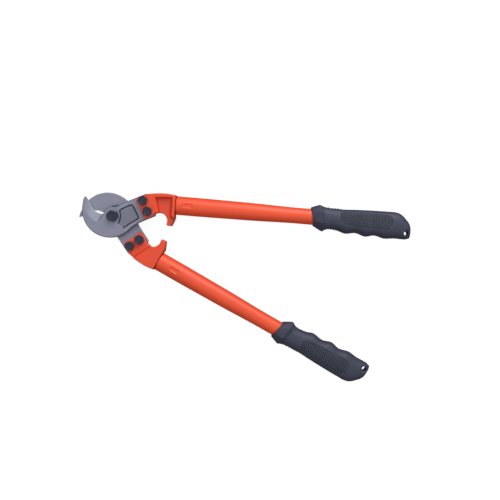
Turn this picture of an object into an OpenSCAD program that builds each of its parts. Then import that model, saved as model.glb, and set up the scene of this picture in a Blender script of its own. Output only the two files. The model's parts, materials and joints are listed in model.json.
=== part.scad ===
// Two-handed cable cutter, 450 mm long when closed.
//
// Two identical forged blades turn on one bolt. Each blade's tang sits in the fork of a cast
// socket, held by two bolts, and a steel tube with a rubber grip carries on from the socket.
// The lower half is the upper half turned over about the X axis, so each half is drawn once.
//
// Frame: the tool lies flat on a bench. +X runs from the pivot towards the grips, midway
// between the handles, +Y towards the upper handle and +Z up. The origin is on the pivot axis,
// at the lower end of the pivot bolt. Half-part modules use z = 0 at the plane where the
// blades meet.

/* [Jaws] */
// Thickness of each blade
blade_t = 8; // [7:0.5:9]
// Radius of the round jaw
jaw_r = 37.6; // [37:0.1:38.5]
// Jaw centre beyond the pivot, away from the grips
jaw_back = 6.2; // [6:0.1:7]
// Jaw centre above the middle line
jaw_up = 7.1; // [6.5:0.1:7.5]
// Radius of the hollow part of the cutting edge
edge_r = 17.8; // [17.5:0.1:18.2]
// Centre of the hollow part beyond the pivot, away from the grips
edge_back = 19.5; // [19:0.1:20]
// Centre of the hollow part above the middle line
edge_up = 16.3; // [15.9:0.1:16.5]
// Direction of the straight part of the edge, from the nose down to the hollow, degrees
nose_dir = 136; // [134:0.5:137]
// Where the straight part bulges before the nose: along it, towards the mouth, and its end
nose_bulge = [9.3, 0.8, 16];
// Outline of the nose outside the round jaw, [X, Y] of its corners
nose_back = [[-43.5, 2.5], [-44.9, 9.5], [-44.8, 12.5], [-44.2, 16]];
// Radius of the line where the ground bevel meets the blade's face
bevel_r = 32.5; // [31:0.5:34]
// Centre of that line, [X, Y]
bevel_at = [-13.3, 18.8];
// Where the bevel runs out against the boss, [X, Y], and the run-out's direction, degrees
runout_at = [-12.8, -1.8];
runout_dir = 69; // [60:1:80]
// Radius of the boss round the pivot
boss_r = 13; // [12:0.5:14]
// Total play between the two blades
blade_play = 0.1; // [0.05:0.01:0.15]

/* [Tangs] */
// Direction of the tang from the middle line, degrees
tang_dir = 39.3; // [38:0.1:40]
// Outer edge of the tang, from the pivot
tang_out = 11.3; // [11:0.1:12]
// Inner edge of the tang, from the pivot
tang_in = 21.3; // [20.8:0.1:21.8]
// End of the tang, from the pivot
tang_end = 54.5; // [53:0.5:55]
// Radius of the hollow between jaw and tang
tang_fillet_r = 70; // [50:5:90]
// Depth of the sunk panel in the tang
panel_depth = 0.8; // [0.4:0.1:1.2]

/* [Pivot] */
// Pivot bolt diameter
pivot_d = 10; // [9:0.5:11]
// Radial clearance between the bolt and the blades
pivot_play = 0.05; // [0.02:0.01:0.1]
// Bolt head, across flats
pivot_head_af = 14; // [13:0.5:15]
// Bolt head height
pivot_head_h = 6; // [5:0.5:7]
// Tab washer thickness
tab_washer_t = 1.1; // [0.8:0.1:1.2]
// Direction of the bent tab and of one flat of the head, degrees
tab_dir = 36; // [20:1:50]
// Washer under the nut, thickness
pivot_washer_t = 1.5; // [1:0.1:2]
// Pivot nut, across flats
pivot_nut_af = 16; // [15:0.5:17]
// Pivot nut height
pivot_nut_h = 6.4; // [5.5:0.1:7]
// Bolt end beyond the nut
pivot_tail = 1.05; // [0.5:0.05:2]

/* [Tang bolts] */
// Tang bolt diameter
tang_bolt_d = 8; // [7:0.5:8]
// Clearance of the bolt holes, radial
tang_bolt_play = 0.05; // [0.02:0.01:0.1]
// Bolt heads and nuts, across flats
tang_bolt_af = 12; // [11.5:0.5:13]
// Bolt head height
tang_head_h = 5.3; // [4:0.1:6]
// Thin nut height
tang_nut_h = 4; // [3:0.5:4]
// Bolt end beyond the nut
tang_bolt_tail = 0.5; // [0.2:0.1:0.5]
// Distance of the bolts from the pivot, along the tang
bolt_u = 46.5; // [46:0.5:47]
// Places of the outer and inner bolt across the tang
bolt_v = [3.45, -12.25];
// How far each hexagon was turned when tightened: upper outer, upper inner, lower outer, lower inner
hex_turn = [36, 51, 32, 50];

/* [Sockets] */
// Thickness of the socket casting
socket_t = 25; // [24:0.5:26]
// Radius of the collar round the end of the tube
collar_r = 13.3; // [13:0.1:13.5]
// Front edge of the fork, from the pivot along the tang
fork_u = 38.5; // [38:0.1:39.5]
// Outer and inner edges of the fork, across the tang
fork_v = [9.8, -20.3];
// Where the fork steps out to the full casting, along the tang
step_u = 62.5; // [61:0.5:64]
// Depth of the cored pocket in the socket's face
pocket_depth = 5.5; // [4:0.5:6]
// Radius of the round notch under the hook
notch_r = 10.8; // [10.5:0.1:11]
// Centre of the notch, [X, Y]
notch_at = [62, 12.8];
// Angle of each hook's end face from the middle line, degrees
hook_angle = 7.75; // [7.5:0.05:8]
// Length of the spigot inside the tube
spigot_l = 34; // [20:1:45]
// Clearance between spigot and tube, radial
spigot_play = 0.05; // [0.02:0.01:0.1]

/* [Handles] */
// Direction of the handle from the middle line, degrees
handle_dir = 12.5; // [12:0.1:13]
// Height at which the handle's axis crosses above the pivot
handle_y0 = 22.5; // [22:0.1:23]
// Start of the tube along its axis
tube_start = 79; // [78.5:0.5:80]
// End of the tube, inside the grip
tube_end = 372; // [360:1:375]
// Tube diameter at the socket
tube_d = 25.4; // [25:0.1:25.6]
// Tube diameter at the grip
neck_d = 21.6; // [21.4:0.1:21.8]
// Tube wall
tube_wall = 1.6; // [1.2:0.1:2]
// Length, width and depth of the crimped dimple, front and back
dimple = [12.4, 5.2, 0.9];
// Middle of the front and of the back dimple along the tube's axis
dimple_s = [95.5, 104];

/* [Grips] */
// Half depth of the guard at the front of the grip
guard_half = 17; // [16.5:0.5:17]
// Clearance between the tube and the grip, radial
grip_play = 0.05; // [0.02:0.01:0.1]
// Hanging hole diameter
hang_d = 6; // [5:0.5:6]
// Place of the hanging hole along and across the handle's axis
hang_at = [393, -12];
// Diameter and half spacing of the flat recesses round the hanging hole
hang_recess = [10.4, 9];

/* [Hidden] */

$fn = 96;
CUT = 60;      // size of a cutting block that only has to reach past the part
SIDES = 24;    // sides of each ring of the grip
FACET = 64;    // sides of the discs that the bevel is hulled from
EDGE_LAND = 0.4;   // flat left on the cutting edge
NOSE_REACH = 30;   // how far the straight edge is carried past the nose

STEEL = [0.52, 0.53, 0.57];
PAINT = [0.90, 0.32, 0.16];
BLACK = [0.15, 0.16, 0.20];
RUBBER = [0.18, 0.19, 0.25];

half_play = blade_play / 2;
tang_top = half_play + blade_t;
socket_half = socket_t / 2;
fork_back = tang_top - socket_half;       // back face of the thin fork plate
tang_low = half_play;
nut_stack = pivot_washer_t + pivot_nut_h + pivot_tail;
mate_h = tang_top + nut_stack;            // the blades' meeting plane above the bench
head_seat = tang_top + half_play + tab_washer_t;
fork_stack = socket_half - fork_back;
tube_r = tube_d / 2;
neck_r = neck_d / 2;
spigot_r = tube_r - tube_wall - spigot_play;

// Outer diameter of the tube in steps along its axis: full, then necked down to the grip
TUBE_STATIONS = [
    [tube_start, tube_r],
    [120, tube_r],
    [190, tube_r - 0.7],
    [235, neck_r],
    [tube_end, neck_r]
];

// Grip sections: along the axis, outer edge, inner edge, half depth, lean of the section
GRIP_STATIONS = [
    [265, 12, -11.8, 12.2, 3],
    [277, 17.8, -19.2, guard_half, 3.3],
    [288, 14, -15, 14.3, 2],
    [297, 13.6, -14.8, 13.6, 0],
    [304, 13.6, -17.4, 13.8, 0],
    [311, 14.2, -19.1, 14.2, 0],
    [318, 14.4, -18.2, 14.4, 0],
    [325, 14.7, -17.2, 14.5, 0],
    [332, 14.9, -19.2, 14.6, 0],
    [339, 15.2, -20.8, 14.6, 0],
    [346, 15.4, -19.3, 14.5, 0],
    [351, 15.5, -18.4, 14.4, 0],
    [358, 15.6, -20, 14.2, 0],
    [365, 15.7, -21.5, 13.9, 0],
    [374, 15.8, -20.4, 13.2, 0],
    [380, 15.4, -20, 12.6, 0],
    [386, 13.2, -20, 11.8, 0],
    [391, 8.9, -20.2, 11, 0],
    [395.5, 3.5, -19.6, 9.8, 0],
    [398.5, -3, -18.4, 7.5, 0],
    [400, -7.5, -15.8, 4, 0]
];

// ---------------------------------------------------------------- placing

// The upper half: only lifted to its height over the bench
module upper() {
    translate([0, 0, mate_h]) children();
}

// The lower half: turned over about the middle line, then lifted
module lower() {
    translate([0, 0, mate_h]) rotate([180, 0, 0]) children();
}

// Along the tang: local X runs out along the tang
module on_tang() {
    rotate([0, 0, tang_dir]) children();
}

// Along the handle: local X runs along the handle's axis
module on_handle() {
    translate([0, handle_y0, 0]) rotate([0, 0, handle_dir]) children();
}

// Local Z along the handle's axis, for turned parts
module on_handle_axis() {
    on_handle() rotate([0, 90, 0]) children();
}

// ---------------------------------------------------------------- fasteners

// A hexagon with chamfered corners, standing on z = 0
module hexagon(af, h, chamfer_top = true, chamfer_bottom = false) {
    corner_r = af / 2 / cos(30);
    drop = (corner_r - af / 2) * tan(30);
    top_r = chamfer_top ? af / 2 : corner_r;
    low_r = chamfer_bottom ? af / 2 : corner_r;
    top_drop = chamfer_top ? drop : 0;
    low_drop = chamfer_bottom ? drop : 0;
    intersection() {
        cylinder(r = corner_r, h = h, $fn = 6);
        rotate_extrude() polygon([
            [0, 0], [low_r, 0], [corner_r, low_drop],
            [corner_r, h - top_drop], [top_r, h], [0, h]
        ]);
    }
}

// A hexagon nut on z = 0
module hex_nut(af, h, hole_r) {
    difference() {
        hexagon(af, h, true, true);
        translate([0, 0, -1]) cylinder(r = hole_r, h = h + 2);
    }
}

// A hexagon bolt: head up from z = 0, shank down, with a chamfered end
module hex_bolt(d, af, head_h, length) {
    r = d / 2;
    tip = 0.08 * d;
    hexagon(af, head_h);
    rotate_extrude() polygon([
        [0, 0.1], [r, 0.1], [r, tip - length], [r - tip, -length], [0, -length]
    ]);
}

module pivot_bolt() {
    color(BLACK) upper() translate([0, 0, head_seat]) rotate([0, 0, tab_dir + 30])
        hex_bolt(pivot_d, pivot_head_af, pivot_head_h, head_seat + mate_h);
}

// Lock washer whose tab is bent up against one flat of the head
module pivot_tab_washer() {
    ring_r = pivot_head_af / 2 + 0.2;
    tab_in = pivot_head_af / 2 + 0.05;
    color(BLACK) upper() translate([0, 0, tang_top + half_play]) rotate([0, 0, tab_dir]) {
        difference() {
            union() {
                cylinder(r = ring_r, h = tab_washer_t);
                translate([tab_in, -pivot_head_af / 4, 0])
                    cube([tab_washer_t, pivot_head_af / 2, pivot_head_h * 0.6]);
            }
            translate([0, 0, -1]) cylinder(r = pivot_d / 2 + pivot_play, h = tab_washer_t + 2);
        }
    }
}

module pivot_washer() {
    color(BLACK) lower() translate([0, 0, tang_top]) difference() {
        cylinder(r = pivot_d, h = pivot_washer_t);
        translate([0, 0, -1]) cylinder(r = pivot_d / 2 + pivot_play, h = pivot_washer_t + 2);
    }
}

module pivot_nut() {
    color(BLACK) lower() translate([0, 0, tang_top + pivot_washer_t])
        hex_nut(pivot_nut_af, pivot_nut_h, pivot_d / 2 + pivot_play);
}

// Tang bolts and nuts: all heads on the front, so the lower half's stand on its other face
module at_tang_bolt(row) {
    on_tang() translate([bolt_u, bolt_v[row], 0]) children();
}

module tang_bolt(row, turn) {
    length = fork_stack + tang_nut_h + tang_bolt_tail;
    rotate([0, 0, turn - tang_dir]) hex_bolt(tang_bolt_d, tang_bolt_af, tang_head_h, length);
}

module tang_nut() {
    hex_nut(tang_bolt_af, tang_nut_h, tang_bolt_d / 2 + tang_bolt_play);
}

module upper_bolt(row) {
    color(BLACK) upper() at_tang_bolt(row) translate([0, 0, socket_half])
        tang_bolt(row, hex_turn[row]);
}

module lower_bolt(row) {
    color(BLACK) lower() at_tang_bolt(row) translate([0, 0, fork_back]) rotate([180, 0, 0])
        tang_bolt(row, hex_turn[row + 2] + 2 * tang_dir);
}

module upper_nut(row) {
    color(BLACK) upper() at_tang_bolt(row) translate([0, 0, fork_back]) rotate([180, 0, 0])
        tang_nut();
}

module lower_nut(row) {
    color(BLACK) lower() at_tang_bolt(row) translate([0, 0, socket_half]) tang_nut();
}

// ---------------------------------------------------------------- blade

// What lies above the cutting edge: the hollow and the straight part that runs to the nose
module edge_outline() {
    hull() {
        translate([-edge_back, edge_up]) circle(r = edge_r, $fn = FACET);
        translate([-edge_back, edge_up]) rotate(nose_dir) translate([NOSE_REACH, edge_r - 0.1])
            circle(r = 0.1, $fn = FACET);
    }
}

// Round jaw with the mouth cut out of it, and the pointed nose that rises from its rim
module jaw_outline() {
    difference() {
        union() {
            translate([-jaw_back, jaw_up]) circle(r = jaw_r);
            polygon(concat(nose_back, [[-edge_back, edge_up], [-jaw_back, jaw_up]]));
        }
        translate([-edge_back, edge_up]) circle(r = edge_r);
        translate([-edge_back, edge_up]) rotate(nose_dir) translate([0, -CUT])
            square([CUT, CUT + edge_r]);
        rotate(tang_dir) translate([0, 5]) square(CUT);
        rotate(tang_dir) translate([tang_end - 2 * boss_r, -CUT]) square(2 * CUT);
    }
    translate([-edge_back, edge_up]) rotate(nose_dir)
        polygon([
            [1, edge_r + 1], [0.1, edge_r], [nose_bulge[0], edge_r - nose_bulge[1]],
            [nose_bulge[2], edge_r], [nose_bulge[2] - 2, edge_r + 1]
        ]);
}

// Tang, with the hollow that joins its inner edge to the jaw
module tang_outline() {
    flare = 5;
    fillet_u = tang_end - 18;
    difference() {
        translate([0, -tang_in - flare]) square([tang_end, tang_out + tang_in + flare]);
        translate([fillet_u, -tang_in - tang_fillet_r]) circle(r = tang_fillet_r, $fn = 200);
        translate([fillet_u, -tang_in - CUT]) square(CUT);
    }
}

module blade_outline() {
    jaw_outline();
    circle(r = boss_r);
    rotate(tang_dir) tang_outline();
}

// Space that the ground bevel takes away, on the jaw side of the boss
module bevel_cut() {
    difference() {
        intersection() {
            hull() {
                translate([0, 0, half_play + EDGE_LAND]) linear_extrude(0.01) edge_outline();
                translate([bevel_at[0], bevel_at[1], tang_top])
                    cylinder(r = bevel_r, h = 0.2, $fn = FACET);
            }
            translate([runout_at[0], runout_at[1], 0]) rotate([0, 0, runout_dir - 90])
                translate([-CUT, -CUT / 2, 0]) cube([CUT, 1.5 * CUT, CUT]);
        }
        cylinder(r = boss_r, h = CUT);
    }
}

// Shallow panel sunk in the tang, with no marking in it
module panel_cut() {
    on_tang() translate([0, 0, tang_top - panel_depth]) linear_extrude(2) polygon([
        [11, -18], [11.5, 4], [29, 5], [31.5, 2.5], [32, -14], [29.5, -16]
    ]);
}

module blade() {
    difference() {
        translate([0, 0, tang_low]) linear_extrude(blade_t) blade_outline();
        bevel_cut();
        panel_cut();
        translate([0, 0, -1]) cylinder(r = pivot_d / 2 + pivot_play, h = CUT);
        for (row = [0, 1])
            at_tang_bolt(row) translate([0, 0, -1])
                cylinder(r = tang_bolt_d / 2 + tang_bolt_play, h = CUT);
    }
}

module front_blade() {
    color(STEEL) upper() blade();
}

module rear_blade() {
    color(STEEL) lower() blade();
}

// ---------------------------------------------------------------- socket

// A point given along and across the tang, in the tool's X and Y
function from_tang(u, v) = [
    u * cos(tang_dir) - v * sin(tang_dir),
    u * sin(tang_dir) + v * cos(tang_dir)
];

// A point given along and across the handle's axis, in the tool's X and Y
function from_handle(s, d) = [
    s * cos(handle_dir) - d * sin(handle_dir),
    handle_y0 + s * sin(handle_dir) + d * cos(handle_dir)
];

// Side view of the casting: fork, curved back, tube seat and hook
module socket_outline() {
    difference() {
        polygon([
            from_tang(fork_u, fork_v[0]),
            from_tang(fork_u + 17.5, fork_v[0]),
            [42, 44.8], [48, 46.9], [56, 49.5], [64, 51.5],
            from_handle(tube_start, collar_r),
            from_handle(tube_start, -collar_r),
            [81, 24], [80.8, 18],
            80.5 * [cos(hook_angle + 0.7), sin(hook_angle + 0.7)],
            79.8 * [cos(hook_angle), sin(hook_angle)],
            74 * [cos(hook_angle), sin(hook_angle)],
            72.9 * [cos(hook_angle + 1.2), sin(hook_angle + 1.2)],
            notch_at,
            from_tang(tang_end + 2, fork_v[1]),
            from_tang(fork_u + 2, fork_v[1]),
            from_tang(fork_u, fork_v[1] + 2)
        ]);
        translate(notch_at) circle(r = notch_r);
    }
}

// Pocket cored out of the casting's face, open towards the hook
module pocket_outline() {
    polygon([
        [46.8, 41.2], [48.2, 42.8], [69.4, 49], [71.4, 47.4], [76.4, 26], [78, 21], [82, 19],
        [82, 5], [60, 5], [58.4, 25]
    ]);
}

module socket() {
    difference() {
        union() {
            translate([0, 0, fork_back]) linear_extrude(fork_stack) socket_outline();
            translate([0, 0, -socket_half]) linear_extrude(socket_t) intersection() {
                socket_outline();
                rotate(tang_dir) translate([step_u, -CUT]) square(2 * CUT);
            }
            on_handle_axis() translate([0, 0, tube_start - 1]) cylinder(r = spigot_r, h = spigot_l + 1);
        }
        // slot for the tang
        on_tang() translate([0, -CUT / 2, tang_low]) cube([tang_end, CUT, blade_t]);
        translate([0, 0, socket_half - pocket_depth]) linear_extrude(CUT) pocket_outline();
        for (row = [0, 1])
            at_tang_bolt(row) translate([0, 0, -CUT / 2])
                cylinder(r = tang_bolt_d / 2 + tang_bolt_play, h = CUT);
    }
}

module upper_socket() {
    color(PAINT) upper() socket();
}

module lower_socket() {
    color(PAINT) lower() socket();
}

// ---------------------------------------------------------------- tube and grip

module tube() {
    inner = [for (p = TUBE_STATIONS) [p[1] - tube_wall, p[0]]];
    outer = [for (i = [len(TUBE_STATIONS) - 1:-1:0]) [TUBE_STATIONS[i][1], TUBE_STATIONS[i][0]]];
    difference() {
        on_handle_axis() rotate_extrude() polygon(concat(inner, outer));
        for (side = [0, 1])
            on_handle() translate([dimple_s[side], 0, (1 - 2 * side) * (tube_r - dimple[2] + 1)])
                cube([dimple[0], dimple[1], 2], center = true);
    }
}

module upper_tube() {
    color(PAINT) upper() tube();
}

module lower_tube() {
    color(PAINT) lower() tube();
}

// Power that keeps the sign, for the rounded-box sections of the grip
function signed_pow(x, p) = sign(x) * pow(abs(x), p);

// One ring of the grip: [along, across, depth] points of a superellipse
function grip_ring(station) =
    let (
        s = station[0],
        mid = (station[1] + station[2]) / 2,
        half = (station[1] - station[2]) / 2,
        depth = station[3],
        lean = station[4],
        squareness = 0.85
    )
    [for (i = [0:SIDES - 1])
        let (a = 360 * i / SIDES, across = signed_pow(cos(a), squareness))
        [s - lean * across, mid + half * across, depth * signed_pow(sin(a), squareness)]
    ];

module grip_body() {
    rings = len(GRIP_STATIONS);
    points = [for (station = GRIP_STATIONS) each grip_ring(station)];
    sides = [for (k = [0:rings - 2], i = [0:SIDES - 1])
        let (j = (i + 1) % SIDES, a = k * SIDES, b = a + SIDES)
        each [[a + i, a + j, b + i], [a + j, b + j, b + i]]
    ];
    front = [[for (i = [SIDES - 1:-1:0]) i]];
    back = [[for (i = [0:SIDES - 1]) (rings - 1) * SIDES + i]];
    polyhedron(points, concat(sides, front, back));
}

module grip() {
    hang_len = 2 * hang_recess[1];
    on_handle() difference() {
        grip_body();
        rotate([0, 90, 0]) cylinder(r = neck_r + grip_play, h = tube_end);
        translate([hang_at[0], hang_at[1], -hang_len]) cylinder(r = hang_d / 2, h = 2 * hang_len);
        for (side = [-1, 1])
            translate([hang_at[0], hang_at[1], side * (hang_recess[1] + 5)])
                cylinder(r = hang_recess[0] / 2, h = 10, center = true);
    }
}

module upper_grip() {
    color(RUBBER) upper() grip();
}

module lower_grip() {
    color(RUBBER) lower() grip();
}

// ---------------------------------------------------------------- the part

front_blade();
rear_blade();
pivot_bolt();
pivot_tab_washer();
pivot_washer();
pivot_nut();
upper_socket();
lower_socket();
upper_tube();
lower_tube();
upper_grip();
lower_grip();
upper_bolt(0);  // upper_outer_bolt
upper_bolt(1);  // upper_inner_bolt
lower_bolt(0);  // lower_outer_bolt
lower_bolt(1);  // lower_inner_bolt
upper_nut(0);  // upper_outer_nut
upper_nut(1);  // upper_inner_nut
lower_nut(0);  // lower_outer_nut
lower_nut(1);  // lower_inner_nut
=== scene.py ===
# %% [markdown]
# A two-handed cable cutter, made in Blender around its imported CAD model.
#
# The real tool is two identical halves: a forged blade, a cast socket, a steel tube and a
# rubber grip. One half lies turned over on the other, and one bolt joins them. So each shape
# here is made once, in millimetres, with z = 0 on the plane where the two blades meet, and a
# small function puts it in the place of the upper or the lower half.

import json
from math import atan2, cos, degrees, hypot, pi, radians, sin

import bpy
import numpy as np
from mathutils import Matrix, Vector
from mathutils.geometry import delaunay_2d_cdt


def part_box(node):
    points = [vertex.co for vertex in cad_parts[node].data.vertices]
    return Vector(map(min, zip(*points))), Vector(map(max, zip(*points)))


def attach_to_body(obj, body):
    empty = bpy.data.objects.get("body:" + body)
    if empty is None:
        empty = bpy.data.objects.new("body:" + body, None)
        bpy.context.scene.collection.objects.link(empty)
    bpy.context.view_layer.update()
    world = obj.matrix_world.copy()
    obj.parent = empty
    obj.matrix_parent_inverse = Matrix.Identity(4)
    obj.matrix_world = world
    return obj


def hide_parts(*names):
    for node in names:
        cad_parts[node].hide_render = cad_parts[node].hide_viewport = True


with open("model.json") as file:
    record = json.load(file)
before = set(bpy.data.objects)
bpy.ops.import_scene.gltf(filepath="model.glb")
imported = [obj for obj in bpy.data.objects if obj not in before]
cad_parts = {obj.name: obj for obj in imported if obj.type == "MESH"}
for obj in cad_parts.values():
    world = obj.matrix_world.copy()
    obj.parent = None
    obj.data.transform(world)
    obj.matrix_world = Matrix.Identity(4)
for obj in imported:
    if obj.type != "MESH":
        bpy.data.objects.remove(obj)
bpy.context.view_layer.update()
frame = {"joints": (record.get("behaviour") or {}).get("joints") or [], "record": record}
MM = 0.001
mating_z = frame["joints"][0]["pos_m"][2] / MM

# %% [markdown]
# Size comes first. The CAD boxes give the heights, and the few plan dimensions below give the
# blade's arcs, the angle of tang and handle, and where the socket and the grip begin along the
# handle.

# %% Dimensions of the tool, in millimetres and degrees


def box_mm(node):
    """Lowest and highest corner of a CAD node, in millimetres."""
    low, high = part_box(node)
    return np.array(low) / MM, np.array(high) / MM


BLADE_TOP = box_mm("front_blade")[1][2] - mating_z
BLADE_LOW = box_mm("front_blade")[0][2] - mating_z
SOCKET_HALF = box_mm("upper_socket")[1][2] - mating_z
FORK_BACK = BLADE_TOP - SOCKET_HALF
JAW_AT, JAW_R = np.array([-6.2, 7.1]), 37.6
MOUTH_AT, MOUTH_R = np.array([-19.5, 16.3]), 17.8
NOSE_DIR, NOSE_BULGE = 136, (9.3, MOUTH_R - 0.8)
NOSE_BACK = [(-44.2, 15.4), (-44.8, 12.5), (-44.9, 9.5), (-43.5, 2.5)]
BEVEL_AT, BEVEL_R = np.array([-13.3, 18.8]), 32.5
RUNOUT_AT, RUNOUT_DIR = np.array([-12.8, -1.8]), 69
BOSS_R = 13
PIVOT_R, TANG_BOLT_R, HOLE_PLAY = 5, 4, 0.05
TANG_DIR, TANG_OUT, TANG_IN, TANG_END = 39.3, 11.3, -21.3, 54.5
BOLT_U, BOLT_V = 46.5, (3.45, -12.25)
HANDLE_DIR, HANDLE_Y = 12.5, 22.5
COLLAR_S = 79
print("blade", round(BLADE_TOP - BLADE_LOW, 2), "mm thick, socket", round(2 * SOCKET_HALF, 2), "mm")

# %% [markdown]
# A camera is easiest to place from the tool's own size. It hangs straight over the tool and
# is turned a little, so that the upper handle runs level. It stands a metre off, and a lens
# of about 53 mm takes in the whole tool with room round it.

# %% Camera


def new_object(name, data):
    """An object in the scene that shows the data."""
    made = bpy.data.objects.new(name, data)
    bpy.context.scene.collection.objects.link(made)
    return made


VIEW_HEIGHT = 1.0
VIEW_TURN = 17.3
FIELD_WIDTH = 0.6818
centre = Vector((0.1913, 0.0116, mating_z * MM))
camera_data = bpy.data.cameras.new("camera")
camera_data.sensor_width = 36
camera_data.lens = camera_data.sensor_width * VIEW_HEIGHT / FIELD_WIDTH
camera = new_object("camera", camera_data)
camera.location = centre + Vector((0, 0, VIEW_HEIGHT))
camera.rotation_euler = (0, 0, radians(VIEW_TURN))
bpy.context.scene.camera = camera
print("lens", round(camera_data.lens, 1), "mm")

# %% [markdown]
# Studio light for a shiny painted tool is one large soft box and a room that is bright
# overhead and dim at bench height. So faces that look up are light, walls are dark, and the
# tubes get a broad highlight along the side where the soft box stands.

# %% Light


def soft_box(name, bearing, height, distance, size, watts):
    """A square lamp that looks at the middle of the tool from a compass bearing."""
    lamp = bpy.data.lights.new(name, "AREA")
    lamp.shape = "SQUARE"
    lamp.size = size
    lamp.energy = watts
    holder = new_object(name, lamp)
    turn = radians(bearing)
    offset = Vector((cos(turn) * distance, sin(turn) * distance, height))
    holder.location = centre + offset
    holder.rotation_euler = (-offset).to_track_quat("-Z", "Y").to_euler()


def room():
    """A world that is bright overhead and dim along the horizon."""
    world = bpy.data.worlds.new("room")
    world.use_nodes = True
    tree = world.node_tree
    kinds = ("TexCoord", "SeparateXYZ", "ValToRGB")
    place, split, grade = [tree.nodes.new("ShaderNode" + kind) for kind in kinds]
    ramp = grade.color_ramp
    ramp.elements[1].position = OVERHEAD
    for element, level in zip(ramp.elements, (BENCH_LEVEL, 1.0)):
        element.color = (level, level, level, 1)
    ramp.elements.new(WALL).color = (*WALL_COLOUR, 1)
    tree.links.new(place.outputs["Generated"], split.inputs[0])
    tree.links.new(split.outputs["Z"], grade.inputs[0])
    tree.links.new(grade.outputs[0], tree.nodes["Background"].inputs["Color"])
    bpy.context.scene.world = world


OVERHEAD, WALL = 0.95, 0.3
BENCH_LEVEL, WALL_COLOUR = 0.14, (0.38, 0.38, 0.39)
room()
bpy.context.scene.view_settings.view_transform = "Standard"
soft_box("key", bearing=VIEW_TURN + 70, height=0.68, distance=1.15, size=0.8, watts=14)

# %% [markdown]
# Materials are sums of noise, masks and colours. Writing them as nodes one by one is long,
# so two small helpers do the wiring. A `Wire` is one output socket: adding or multiplying two
# wires adds a Math node. A `Paint` is one material, and its `node` method makes any other
# node from its type, its settings and what goes into its sockets.

# %% Shader helpers


class Wire:
    """An output socket that can stand in a sum."""

    def __init__(self, paint, socket):
        self.paint = paint
        self.socket = socket

    def maths(self, operation, *terms):
        return self.paint.node("ShaderNodeMath", {"operation": operation}, dict(enumerate(terms)))

    def __add__(self, other):
        return self.maths("ADD", self, other)

    def __sub__(self, other):
        return self.maths("SUBTRACT", self, other)

    def __rsub__(self, other):
        return self.maths("SUBTRACT", other, self)

    def __mul__(self, other):
        return self.maths("MULTIPLY", self, other)

    __radd__ = __add__
    __rmul__ = __mul__


class Paint:
    """One material with its Principled shader and the maker's nodes."""

    def __init__(self, name):
        self.material = bpy.data.materials.new(name)
        self.material.use_nodes = True
        self.tree = self.material.node_tree
        self.shader = self.tree.nodes["Principled BSDF"]
        place = self.node("ShaderNodeTexCoord", output="Object")
        scale = {"operation": "SCALE"}
        self.place = self.node("ShaderNodeVectorMath", scale, {0: place, "Scale": 1 / MM})

    def node(self, kind, settings=None, inputs=None, output=0):
        made = self.tree.nodes.new(kind)
        for key, value in (settings or {}).items():
            if key == "stops":
                self.set_stops(made.color_ramp, value)
            else:
                setattr(made, key, value)
        for key, value in (inputs or {}).items():
            self.feed(made.inputs[key], value)
        return Wire(self, made.outputs[output])

    def feed(self, socket, value):
        if isinstance(value, Wire):
            self.tree.links.new(value.socket, socket)
        else:
            socket.default_value = value

    def set_stops(self, ramp, stops):
        while len(ramp.elements) < len(stops):
            ramp.elements.new(0.5)
        for element, (position, level) in zip(ramp.elements, stops):
            element.position = position
            element.color = (level, level, level, 1)

    def blend(self, mask, first, second):
        """A colour that goes from first to second as mask goes from 0 to 1."""
        return self.node("ShaderNodeMix", {"data_type": "RGBA"}, {0: mask, 6: first, 7: second}, 2)

    def layers(self, base, *coats):
        """The base colour under coats of (mask, display colour)."""
        for mask, tint in coats:
            base = self.blend(mask, base, colour(*tint))
        return base

    def ramp(self, value, *stops):
        return self.node("ShaderNodeValToRGB", {"stops": stops}, {0: value})

    def noise(self, size, detail, place=None):
        """Noise whose blotches are about size millimetres across."""
        inputs = {"Vector": place or self.place, "Scale": 1 / size, "Detail": detail}
        return self.node("ShaderNodeTexNoise", inputs=inputs)

    def mask(self, name):
        """A value painted on the mesh, from 0 to 1."""
        return self.node("ShaderNodeAttribute", {"attribute_name": name}, output="Fac")

    def bump(self, height, millimetres, under=None):
        """Relief of that height, laid over another one."""
        inputs = {"Height": height, "Strength": 1.0, "Distance": millimetres * MM}
        if under:
            inputs["Normal"] = under
        return self.node("ShaderNodeBump", inputs=inputs)

    def finish(self, **inputs):
        for key, value in inputs.items():
            self.feed(self.shader.inputs[key.replace("_", " ")], value)
        return self.material


def colour(red, green, blue):
    """A display colour, 0 to 255, as the linear colour that a shader takes."""
    linear = [((v / 255 + 0.055) / 1.055) ** 2.4 for v in (red, green, blue)]
    return (*linear, 1)


print("shader helpers ready")

# %% [markdown]
# The floor is a plain pale sheet on a light table. It glows by itself, so shadows on it are
# faint, and its light is kept off the tool, whose walls would otherwise lose their shade.

# %% Floor


def paper():
    paint = Paint("paper")
    fibre = paint.noise(6, 3)
    tone = paint.blend(fibre, colour(118, 118, 120), colour(124, 124, 126))
    return paint.finish(
        Base_Color=tone, Roughness=0.9, Emission_Color=(1, 1, 1, 1), Emission_Strength=0.9
    )


FLOOR_HALF = 4.0
floor_mesh = bpy.data.meshes.new("floor")
corners = [(-1, -1), (1, -1), (1, 1), (-1, 1)]
floor_spots = [(x * FLOOR_HALF, y * FLOOR_HALF, 0) for x, y in corners]
floor_mesh.from_pydata(floor_spots, [], [(0, 1, 2, 3)])
floor_mesh.materials.append(paper())
floor = new_object("floor", floor_mesh)
floor.visible_diffuse = False
floor.visible_glossy = False
print("floor", 2 * FLOOR_HALF, "m wide")
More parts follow.
